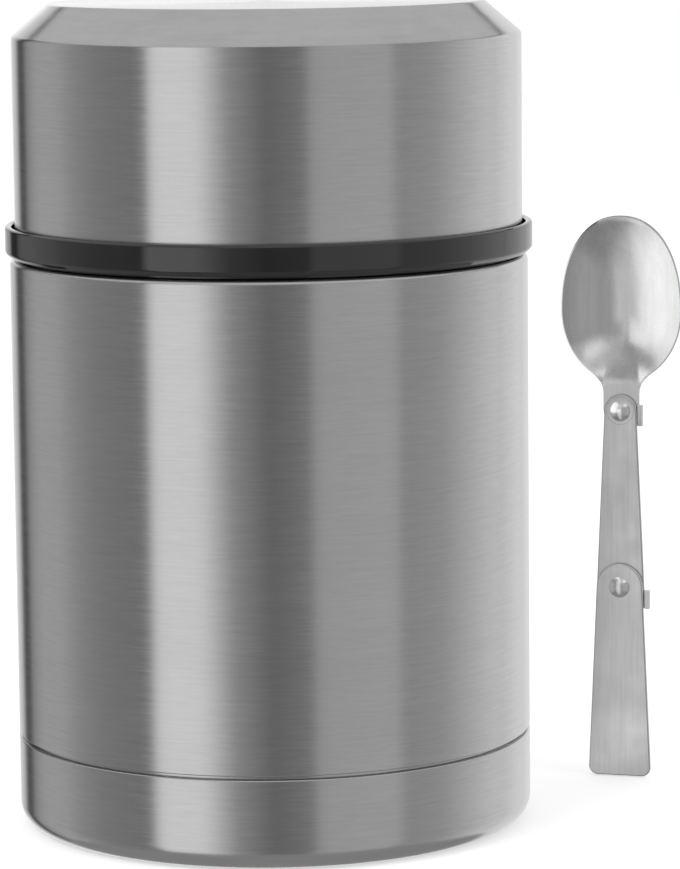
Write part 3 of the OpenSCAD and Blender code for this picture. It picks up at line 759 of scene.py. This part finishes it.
cut_by(stopper, finger, "DIFFERENCE")
thread(stopper, PLUG_R, PLUG_R + 0.55, 128, 138.5)
fit(stopper, dark_plastic, "stopper", "dark_plastic", "stopper_body")
finish_node("stopper_base", dark_plastic)

fit(turned("stopper_insulation", [
    (TUBE_R + FOAM_GAP, TUBE_LOW + FOAM_GAP, 0.6),
    (PLUG_R - PLUG_WALL - FOAM_GAP, TUBE_LOW + FOAM_GAP, 1),
    (PLUG_R - PLUG_WALL - FOAM_GAP, WELL_FLOOR - PLUG_WALL - FOAM_GAP, 1),
    (TUBE_R + FOAM_GAP, WELL_FLOOR - PLUG_WALL - FOAM_GAP, 0.6)]),
    hard_foam, "stopper_core", "foam", "stopper_foam")
fit(turned("neck_gasket", [
    (GASKET_ROOT, GASKET_LOW + 0.05, 0.2), (41.6, GASKET_LOW + 0.05, 0.4), (42.2, 122.2, 0.25),
    (41.7, 122.95, 0.3), (42.2, 123.7, 0.25), (41.6, GASKET_TOP - 0.05, 0.4),
    (GASKET_ROOT, GASKET_TOP - 0.05, 0.2)]),
    silicone, "stopper", "silicone", "stopper_gasket")

# ---- Vent ----------------------------------------------------------------------------
# A dished push button in a polished trim ring. Below it a coil spring lifts the steel rod,
# whose silicone disc closes the air hole from below and is held by a split ring.
SMALL_SIDES = 128
BEZEL_BORE = 9.35
BEZEL_R = 12.95
BEZEL_TOP = HEAD_TOP + 0.8
BUTTON_R = 9
BUTTON_TOP = 150.6
FLANGE_R = 9.8
FLANGE_Z = 148.9
BUTTON_FOOT = 146.9
ROD_R = 2
SOCKET_R = 3.2
fit(turned("trim_ring", [
    (BEZEL_BORE, HEAD_TOP), (BEZEL_R, HEAD_TOP), (BEZEL_R, BEZEL_TOP, 0.4),
    (BEZEL_BORE, BEZEL_TOP, 0.3)], SMALL_SIDES),
    satin_steel, "stopper", "inner_steel", "button_bezel")

button_plastic = moulded("button_plastic", 1.5, (1800, 3, 0.6), tones=(0.09, 0.12),
                         roughness=(0.3, 0.42), depth=0.00003, strength=0.4)
fit(turned("push_button", [
    (0, BUTTON_TOP - 0.5), (3, BUTTON_TOP - 0.39, 0.8), (6.3, BUTTON_TOP, 0.8),
    (BUTTON_R, BUTTON_TOP, 0.6), (BUTTON_R, FLANGE_Z, 0.2), (FLANGE_R, FLANGE_Z, 0.2),
    (FLANGE_R, BUTTON_FOOT, 0.2), (7.6, BUTTON_FOOT), (7.6, BUTTON_FOOT + 1.2),
    (SOCKET_R, BUTTON_FOOT + 1.2), (SOCKET_R, BUTTON_FOOT), (ROD_R, BUTTON_FOOT),
    (ROD_R, BUTTON_TOP - 1.2), (0, BUTTON_TOP - 1.2)], SMALL_SIDES),
    button_plastic, "vent", "button_plastic", "vent_button")

spring_wire = spun_steel("spring_wire", dark=0.5, light=0.6, smoothest=0.25, roughest=0.35,
                         fineness=2600, depth=0.000006, pull=0.0)
SPRING_TURNS = 4.5
SPRING_LOW = 141.55
SPRING_RISE = 6.1
COIL_R = 5.4
WIRE_R = 0.45
WIRE_SIDES = 16
FLAT_END = 0.14
wire_pitch = SPRING_RISE / SPRING_TURNS
button_spring = wound("button_spring", [
    (COIL_R + WIRE_R * cos(tau * side / WIRE_SIDES), WIRE_R * sin(tau * side / WIRE_SIDES))
    for side in range(WIRE_SIDES)], wire_pitch, SPRING_TURNS, SPRING_LOW)
for vertex in button_spring.data.vertices:
    count, height = turns_up(vertex, wire_pitch, SPRING_LOW)
    climbed = (count / SPRING_TURNS - FLAT_END) / (1 - 2 * FLAT_END)
    climbed = max(0.0, min(1.0, climbed))
    vertex.co.z = (SPRING_LOW + SPRING_RISE * climbed + height) * MM
fit(button_spring, spring_wire, "stopper", "spring_steel", "vent_spring")
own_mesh(button_spring)

finish_node("vent_stem", satin_steel)
finish_node("stem_clip", satin_steel)
VALVE_TOP = 118.4
fit(turned("valve_disc", [
    (ROD_R, VALVE_TOP - 2), (4.8, VALVE_TOP - 2, 0.3), (6.9, VALVE_TOP - 1.1, 0.3),
    (7, VALVE_TOP, 0.25), (ROD_R, VALVE_TOP)], SMALL_SIDES),
    silicone, "vent", "silicone", "vent_seal")

# ---- Folding spoon: bowl -------------------------------------------------------------
# Stamped from 1 mm steel, dished under a press and polished. Its neck ends round under the
# first rivet, and a lug bent forward stops the arm when the spoon is straight.
LEAF = 1.0
UPPER_RIVET = 82.3
LOWER_RIVET = 42.8
BOWL_MIDDLE = 104.5
BOWL_HALF = 13.6
BOWL_DEPTH = 6.5
NECK_HALF = 4.0
NECK_FLARE = 4.36
LAND = 0.98
TIP = 21.2
HEEL = 16.0
HEEL_ROW = 16.65
NECK_SPAN = 15
FULLNESS = 2.2
HEEL_SPREAD = 0.065
HEEL_DROP = 1.2
FLARE_INSIDE = 0.7
FLARE_BAND = 0.3
HEEL_SPAN = 0.75
DISHING = 2.2
RIM_THINNED = 0.4
RIM_FADE = 4
LEAF_SIDES = 96
SPOON_RIGHT = 77.2
SPOON_BACK = 35
SPOON_TURN = -16
LUG_ROOT = 2.5
LUG_OUT = 0.95
LUG_BEND = 0.5
RIVET_BORE = 1.55
DRILL_LENGTH = 12


def bowl_edge(angle):
    """The bowl's outline from its middle: a full tip, a rounder heel, a flare to the neck."""
    across, up = cos(angle), sin(angle)
    if up >= 0:
        return (BOWL_HALF * abs(across) ** (2 / FULLNESS) * (1 if across > 0 else -1),
                TIP * up ** (2 / FULLNESS))
    neck_edge = sin(radians(NECK_SPAN))
    if abs(across) < neck_edge + SAME:
        return NECK_FLARE * across / neck_edge, -HEEL_ROW
    flare = max(0.0, BOWL_HALF / 2 - BOWL_HALF * abs(across)) / (BOWL_HALF / 2 - NECK_HALF)
    return (BOWL_HALF * across * (1 + HEEL_SPREAD * flare ** 2),
            HEEL * up - HEEL_DROP * flare ** 2)


SHARES = (LAND, 0.93, 0.9, 0.86, 0.81, 0.75, 0.68, 0.6, 0.52, 0.44, 0.36, 0.28, 0.2, 0.12, 0.001)


def eased(share):
    """A share from 0 to 1 that sets out and arrives softly."""
    share = max(0.0, min(1.0, share))
    return share * share * (3 - 2 * share)


def hollow_point(angle, share):
    """A point of the hollow. The rim's flare into the neck dies out a little way in, and
    the hollow itself runs out softly there."""
    across, up = bowl_edge(angle)
    egg_across, egg_up = across, up
    heelward = 0.0
    if sin(angle) < 0:
        egg_across, egg_up = BOWL_HALF * cos(angle), HEEL * sin(angle)
        heelward = eased(1 - abs(cos(angle)) / HEEL_SPAN)
    flared = eased((share - FLARE_INSIDE) / FLARE_BAND)
    across = egg_across + (across - egg_across) * flared
    up = egg_up + (up - egg_up) * flared
    out = min(1, share / LAND)
    dished = 1 - out ** DISHING
    run_out = (1 - out ** 3) ** 1.5
    deep = BOWL_DEPTH * (dished * (1 - heelward) + run_out * heelward)
    return Vector((across * share, deep, BOWL_MIDDLE + up * share)) * MM


def stand_spoon(piece):
    """Puts a finished spoon piece in its place beside the jar."""
    piece.matrix_world = (Matrix.Translation((SPOON_RIGHT * MM, SPOON_BACK * MM, 0))
                          @ Matrix.Rotation(radians(SPOON_TURN), 4, "Z") @ piece.matrix_world)
    select_only(piece)
    bpy.ops.object.transform_apply()


def select_edges(piece, wanted):
    """Selects, in edit mode, the edges with both ends where wanted(x, y, z) is true, in
    millimetres."""
    bpy.ops.mesh.select_mode(type="EDGE")
    bpy.ops.mesh.select_all(action="DESELECT")
    mesh = bmesh.from_edit_mesh(piece.data)
    chosen = {vertex for vertex in mesh.verts if wanted(*(vertex.co / MM))}
    for edge in mesh.edges:
        edge.select = edge.verts[0] in chosen and edge.verts[1] in chosen
    bmesh.update_edit_mesh(piece.data)


def soften(piece, width, over=40):
    """Breaks the sharp edges of a stamped leaf."""
    broken = piece.modifiers.new("broken_edges", "BEVEL")
    broken.width = width * MM
    broken.segments = 3
    broken.limit_method = "ANGLE"
    broken.angle_limit = radians(over)
    apply_modifiers(piece)


def stop_lug(inner, back, top, length):
    """A lug that comes out of a leaf's side at back and turns forward at x = inner."""
    lug = started("lug", bpy.ops.mesh.primitive_cube_add, size=1)
    middle = Vector(((LUG_ROOT + inner) / 2, back + LEAF / 2, top - length / 2)) * MM
    measures = Vector((inner - LUG_ROOT, LEAF, length)) * MM
    lug.matrix_world = Matrix.Translation(middle) @ Matrix.Diagonal((*measures, 1))
    bpy.ops.object.transform_apply()
    bpy.ops.object.mode_set(mode="EDIT")
    bpy.ops.mesh.select_mode(type="FACE")
    for normal, edge_x, step in ((Vector((1, 0, 0)), inner - NEAR, (LUG_OUT * MM, 0, 0)),
                                 (Vector((0, -1, 0)), inner + NEAR, (0, -LEAF * MM, 0))):
        bpy.ops.mesh.select_all(action="DESELECT")
        mesh = bmesh.from_edit_mesh(lug.data)
        for face in mesh.faces:
            face.select = (face.normal.dot(normal) > 0.9
                           and face.calc_center_median().x > edge_x * MM)
        bmesh.update_edit_mesh(lug.data)
        bpy.ops.mesh.extrude_region_move(TRANSFORM_OT_translate={"value": step})
    select_edges(lug, lambda x, y, z: (
        abs(x - inner - LUG_OUT) < NEAR and abs(y - back - LEAF) < NEAR))
    bpy.ops.mesh.bevel(offset=LUG_BEND * MM, segments=5, affect="EDGES")
    bpy.ops.object.mode_set(mode="OBJECT")
    return lug


spoon_dish = started("spoon_dish", bpy.ops.mesh.primitive_circle_add, vertices=LEAF_SIDES,
                     radius=1)
angles = spoon_dish.data.attributes.new("round_the_bowl", "FLOAT", "POINT")
for vertex in spoon_dish.data.vertices:
    angles.data[vertex.index].value = atan2(vertex.co.y, vertex.co.x)
    across, up = bowl_edge(angles.data[vertex.index].value)
    vertex.co = Vector((across, 0, BOWL_MIDDLE + up)) * MM
bpy.ops.object.mode_set(mode="EDIT")
bpy.ops.mesh.select_all(action="SELECT")
for share in SHARES:
    bpy.ops.mesh.extrude_region_move()
    mesh = bmesh.from_edit_mesh(spoon_dish.data)
    round_the_bowl = mesh.verts.layers.float["round_the_bowl"]
    for vertex in mesh.verts:
        if vertex.select:
            vertex.co = hollow_point(vertex[round_the_bowl], share)
    bmesh.update_edit_mesh(spoon_dish.data)
bpy.ops.mesh.select_all(action="SELECT")
bpy.ops.mesh.remove_doubles(threshold=0.01 * MM)
heel = BOWL_MIDDLE - HEEL_ROW
select_edges(spoon_dish, lambda x, y, z: abs(z - heel) < NEAR)
height, half = heel, NECK_FLARE
neck_rows = [(heel - 0.45, 4.18), (heel - 1.05, 4.06), (heel - 1.85, NECK_HALF)]
for degrees in (0, 20, 40, 55, 68, 79, 89.9):
    neck_rows.append((UPPER_RIVET - NECK_HALF * sin(radians(degrees)),
                      NECK_HALF * cos(radians(degrees))))
for next_height, next_half in neck_rows:
    bpy.ops.mesh.extrude_region_move(
        TRANSFORM_OT_translate={"value": (0, 0, (next_height - height) * MM)})
    bpy.ops.transform.resize(value=(next_half / half, 1, 1), center_override=(0, 0, 0))
    height, half = next_height, next_half
bpy.ops.mesh.select_all(action="SELECT")
bpy.ops.mesh.remove_doubles(threshold=0.01 * MM)
bpy.ops.mesh.normals_make_consistent(inside=False)
mesh = bmesh.from_edit_mesh(spoon_dish.data)
if sum(face.normal.y * face.calc_area() for face in mesh.faces) > 0:
    bpy.ops.mesh.flip_normals()
bpy.ops.object.mode_set(mode="OBJECT")
thinning = spoon_dish.vertex_groups.new(name="thinning")
for vertex in spoon_dish.data.vertices:
    above_heel = (vertex.co.z / MM - heel) / RIM_FADE
    rimward = max(0, 1 - vertex.co.y / MM) * min(1, max(0, above_heel))
    thinning.add([vertex.index], 1 - RIM_THINNED * rimward, "REPLACE")
plate = spoon_dish.modifiers.new("plate", "SOLIDIFY")
plate.vertex_group = "thinning"
plate.thickness = LEAF * MM
plate.offset = -1
plate.use_even_offset = True
apply_modifiers(spoon_dish)
soften(spoon_dish, 0.1, 50)
cut_by(spoon_dish, stop_lug(3.95, 0, 83.6, 4.6), "UNION")


def rivet_hole(height):
    return started("drill", bpy.ops.mesh.primitive_cylinder_add, vertices=48,
                   radius=RIVET_BORE * MM, depth=DRILL_LENGTH * MM,
                   location=(0, 0, height * MM), rotation=(pi / 2, 0, 0))


cut_by(spoon_dish, rivet_hole(UPPER_RIVET), "DIFFERENCE")
stand_spoon(spoon_dish)

# Polished work: long soft strokes, a faint haze, and painted shade: a dark line painted into the
# colour where two pieces meet, where their shadow falls.
# Reach and near-black tone of the painted shade in crevices.
CREVICE_SHADE_REACH = 0.0012
CREVICE_SHADE_TONE = 0.04
rubbed_and_shaded, given, result = group_of(
    "rubbed_and_shaded", ("Length", "Fineness"), ("Strokes", "Haze", "Unshaded"))
x, y, z = split(rubbed_and_shaded, given.outputs["Vector"])
fineness = given.outputs["Fineness"]
rubbed_and_shaded.links.new(noise_node(rubbed_and_shaded, combine(
    rubbed_and_shaded, times(rubbed_and_shaded, x, fineness), times(rubbed_and_shaded, y, fineness),
    times(rubbed_and_shaded, z, given.outputs["Length"]))), result.inputs["Strokes"])
rubbed_and_shaded.links.new(noise_node(rubbed_and_shaded, given.outputs["Vector"], 160, rough=0.55),
                 result.inputs["Haze"])
# Painted shade: ambient occlusion over a short reach marks where other steel lies close, and the
# colour darkens there.
crevice_shade = rubbed_and_shaded.nodes.new("ShaderNodeAmbientOcclusion")
crevice_shade.samples = 16
crevice_shade.inputs["Distance"].default_value = CREVICE_SHADE_REACH
rubbed_and_shaded.links.new(ranged(rubbed_and_shaded, crevice_shade.outputs["AO"], 0, 1, bottom=0.05, top=0.72),
                 result.inputs["Unshaded"])


def rubbed_steel(name, dark, light, smoothest, roughest, fineness, depth):
    """Steel rubbed along the spoon's length, with painted shade that darkens it where it meets
    another piece.
    """
    material, tree, shader = principled(name, Metallic=1.0)
    place = tree.nodes.new("ShaderNodeTexCoord")
    turn = tree.nodes.new("ShaderNodeMapping")
    turn.inputs["Rotation"].default_value = (0, 0, radians(-SPOON_TURN))
    worked = placed(tree, rubbed_and_shaded, Length=60, Fineness=fineness)
    tree.links.new(place.outputs["Object"], turn.inputs["Vector"])
    tree.links.new(turn.outputs["Vector"], worked.inputs["Vector"])
    tone = ranged(tree, worked.outputs["Strokes"], 0, 1)
    unshaded_steel = blended(tree, tone, grey(dark), grey(light))
    # Painted shade: the base colour falls to a near black where the occlusion finds another piece
    # close by.
    tree.links.new(blended(tree, worked.outputs["Unshaded"], grey(CREVICE_SHADE_TONE), unshaded_steel),
                   shader.inputs["Base Color"])
    tree.links.new(ranged(tree, worked.outputs["Haze"], smoothest, roughest),
                   shader.inputs["Roughness"])
    bumped(tree, shader, worked.outputs["Strokes"], depth)
    return material


polished_steel = rubbed_steel("polished_steel", dark=0.6, light=0.66, smoothest=0.23,
                              roughest=0.31, fineness=900, depth=0.000002)
fit(spoon_dish, polished_steel, "spoon_bowl_link", "spoon_steel", "spoon_bowl")

# ---- Folding spoon: arm and handle ---------------------------------------------------
# Two flat leaves of the same steel, stamped and tumbled to a soft satin, each lying in
# front of the last. The arm's lug stops the handle, whose foot has rounded corners.
ARM_FRONT = -1.1
HANDLE_FRONT = -2.2
ARM_TOP_HALF = 3.6
ARM_FOOT_HALF = 5.4
HANDLE_HALF = 5.2
FOOT_HALF = 7
FOOT_CORNER = 2
EDGE = 0.28
RING_R = 3.05
RING_HALF = 0.3
RING_DEEP = 0.12
RIVET_SIDES = 64
tumbled_steel = rubbed_steel("tumbled_steel", dark=0.58, light=0.66, smoothest=0.28,
                             roughest=0.38, fineness=1500, depth=0.000005)


def leaf(name, front, outline_point):
    """A flat leaf: a disc of points moved to its outline, then given its thickness."""
    piece = started(name, bpy.ops.mesh.primitive_circle_add, vertices=LEAF_SIDES, radius=1,
                    fill_type="NGON")
    for vertex in piece.data.vertices:
        across, up = outline_point(atan2(vertex.co.y, vertex.co.x))
        vertex.co = Vector((across, front, up)) * MM
    bpy.ops.object.mode_set(mode="EDIT")
    bpy.ops.mesh.select_all(action="SELECT")
    bpy.ops.mesh.extrude_region_move(TRANSFORM_OT_translate={"value": (0, LEAF * MM, 0)})
    bpy.ops.mesh.select_all(action="SELECT")
    bpy.ops.mesh.normals_make_consistent(inside=False)
    bpy.ops.object.mode_set(mode="OBJECT")
    return piece


def arm_edge(angle):
    half, height = ARM_TOP_HALF, UPPER_RIVET
    if sin(angle) < 0:
        half, height = ARM_FOOT_HALF, LOWER_RIVET
    return half * cos(angle), height + half * sin(angle)


def handle_edge(angle):
    if sin(angle) >= 0:
        return HANDLE_HALF * cos(angle), LOWER_RIVET + HANDLE_HALF * sin(angle)
    corner = FOOT_HALF - FOOT_CORNER
    return ((corner if cos(angle) > 0 else -corner) + FOOT_CORNER * cos(angle),
            FOOT_CORNER + FOOT_CORNER * sin(angle))


spoon_link = leaf("spoon_link", ARM_FRONT, arm_edge)
soften(spoon_link, EDGE)
cut_by(spoon_link, stop_lug(5.75, ARM_FRONT, 42.1, 4), "UNION")
for height in (UPPER_RIVET, LOWER_RIVET):
    cut_by(spoon_link, rivet_hole(height), "DIFFERENCE")
pressed_ring = turned("pressed_ring", [
    (RING_R - RING_HALF, 1), (RING_R, -RING_DEEP), (RING_R + RING_HALF, 1)], RIVET_SIDES)
pressed_ring.matrix_world = (Matrix.Translation((0, ARM_FRONT * MM, UPPER_RIVET * MM))
                             @ Matrix.Rotation(pi / 2, 4, "X"))
cut_by(spoon_link, pressed_ring, "DIFFERENCE")
stand_spoon(spoon_link)
fit(spoon_link, tumbled_steel, "spoon_arm_link", "spoon_steel", "spoon_arm")

spoon_grip = leaf("spoon_grip", HANDLE_FRONT, handle_edge)
soften(spoon_grip, EDGE)
cut_by(spoon_grip, rivet_hole(LOWER_RIVET), "DIFFERENCE")
stand_spoon(spoon_grip)
fit(spoon_grip, tumbled_steel, "spoon_handle_link", "spoon_steel", "spoon_handle")

# ---- Folding spoon: rivets -----------------------------------------------------------
# Two domed steel rivets. The upper one is closed with a flat head behind the neck, the
# lower one is driven flush into a countersink, so that the folded bowl passes behind it.
SHANK_R = 1.5
DOME_R = 2.3
DOME_HIGH = 1
TAIL_R = 1.9
TAIL_Z = -2.15
polished_rivet = rubbed_steel("polished_rivet", dark=0.68, light=0.76, smoothest=0.2,
                              roughest=0.28, fineness=1200, depth=0.000002)


def rivet(name, head_at, height, tail):
    """A rivet turned lying down, with its domed head in front and this tail behind."""
    ball_r = (DOME_R ** 2 + DOME_HIGH ** 2) / (2 * DOME_HIGH)
    dome = [(DOME_R * share, sqrt(ball_r ** 2 - (DOME_R * share) ** 2) - ball_r + DOME_HIGH)
            for share in (0, 0.15, 0.3, 0.45, 0.6, 0.72, 0.83, 0.92, 1)]
    piece = turned(name, dome + [(SHANK_R, 0)] + tail, RIVET_SIDES)
    piece.matrix_world = (Matrix.Translation((0, head_at * MM, height * MM))
                          @ Matrix.Rotation(pi / 2, 4, "X"))
    stand_spoon(piece)
    fit(piece, polished_rivet, "spoon_arm_link", "spoon_steel")
    return piece


upper_rivet = rivet("upper_rivet", ARM_FRONT, UPPER_RIVET, [
    (SHANK_R, TAIL_Z), (TAIL_R, TAIL_Z, 0.1), (TAIL_R, TAIL_Z - 0.5, 0.2), (0, TAIL_Z - 0.5)])
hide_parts("bowl_rivet")
lower_rivet = rivet("lower_rivet", HANDLE_FRONT - 0.05, LOWER_RIVET, [
    (SHANK_R, TAIL_Z + 0.5), (TAIL_R, TAIL_Z), (0, TAIL_Z)])
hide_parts("handle_rivet")

# ---- Spoon light ---------------------------------------------------------------------
# The spoon stands in the jar's lee. White cards between the two, a fill from the front and
# a small window above light the spoon alone. Its pieces are not mirrored in the jar.
dish_and_rivets = bpy.data.collections.new("dish_and_rivets")
leaves_and_rivets = bpy.data.collections.new("leaves_and_rivets")
for lit, pieces in (
        (dish_and_rivets, (spoon_dish, upper_rivet, lower_rivet)),
        (leaves_and_rivets, (upper_rivet, lower_rivet, spoon_link, spoon_grip))):
    for piece in pieces:
        lit.objects.link(piece)
        piece.visible_glossy = False
JAR_TO_SPOON = (0.911, 0.413, 0)
for name, spot, direction, width, height, brightness, lit in (
        ("near_card", (0.0644, 0.008, 0.097), JAR_TO_SPOON, 0.0214, 0.042, 0.38, dish_and_rivets),
        ("far_card", (0.0479, 0.0444, 0.097), JAR_TO_SPOON, 0.0585, 0.042, 0.95, dish_and_rivets),
        ("leaf_card", (0.0644, 0.008, 0.043), JAR_TO_SPOON, 0.0214, 0.09, 0.5, leaves_and_rivets),
        ("front_fill", (0.025, -1.264, -0.06), (0.04, 1, 0.12), 0.75, 1.6, 0.21, dish_and_rivets),
        ("window", (0.4, -0.56, 0.69), (-0.323, 0.595, -0.59), 0.36, 0.28, 0.7, dish_and_rivets)):
    watts = brightness * pi * width * height
    lamp = area_lamp(name, spot, direction, watts, width, height)
    lamp.visible_diffuse = False
    lamp.light_linking.receiver_collection = lit
    lamp.light_linking.blocker_collection = leaves_and_rivets
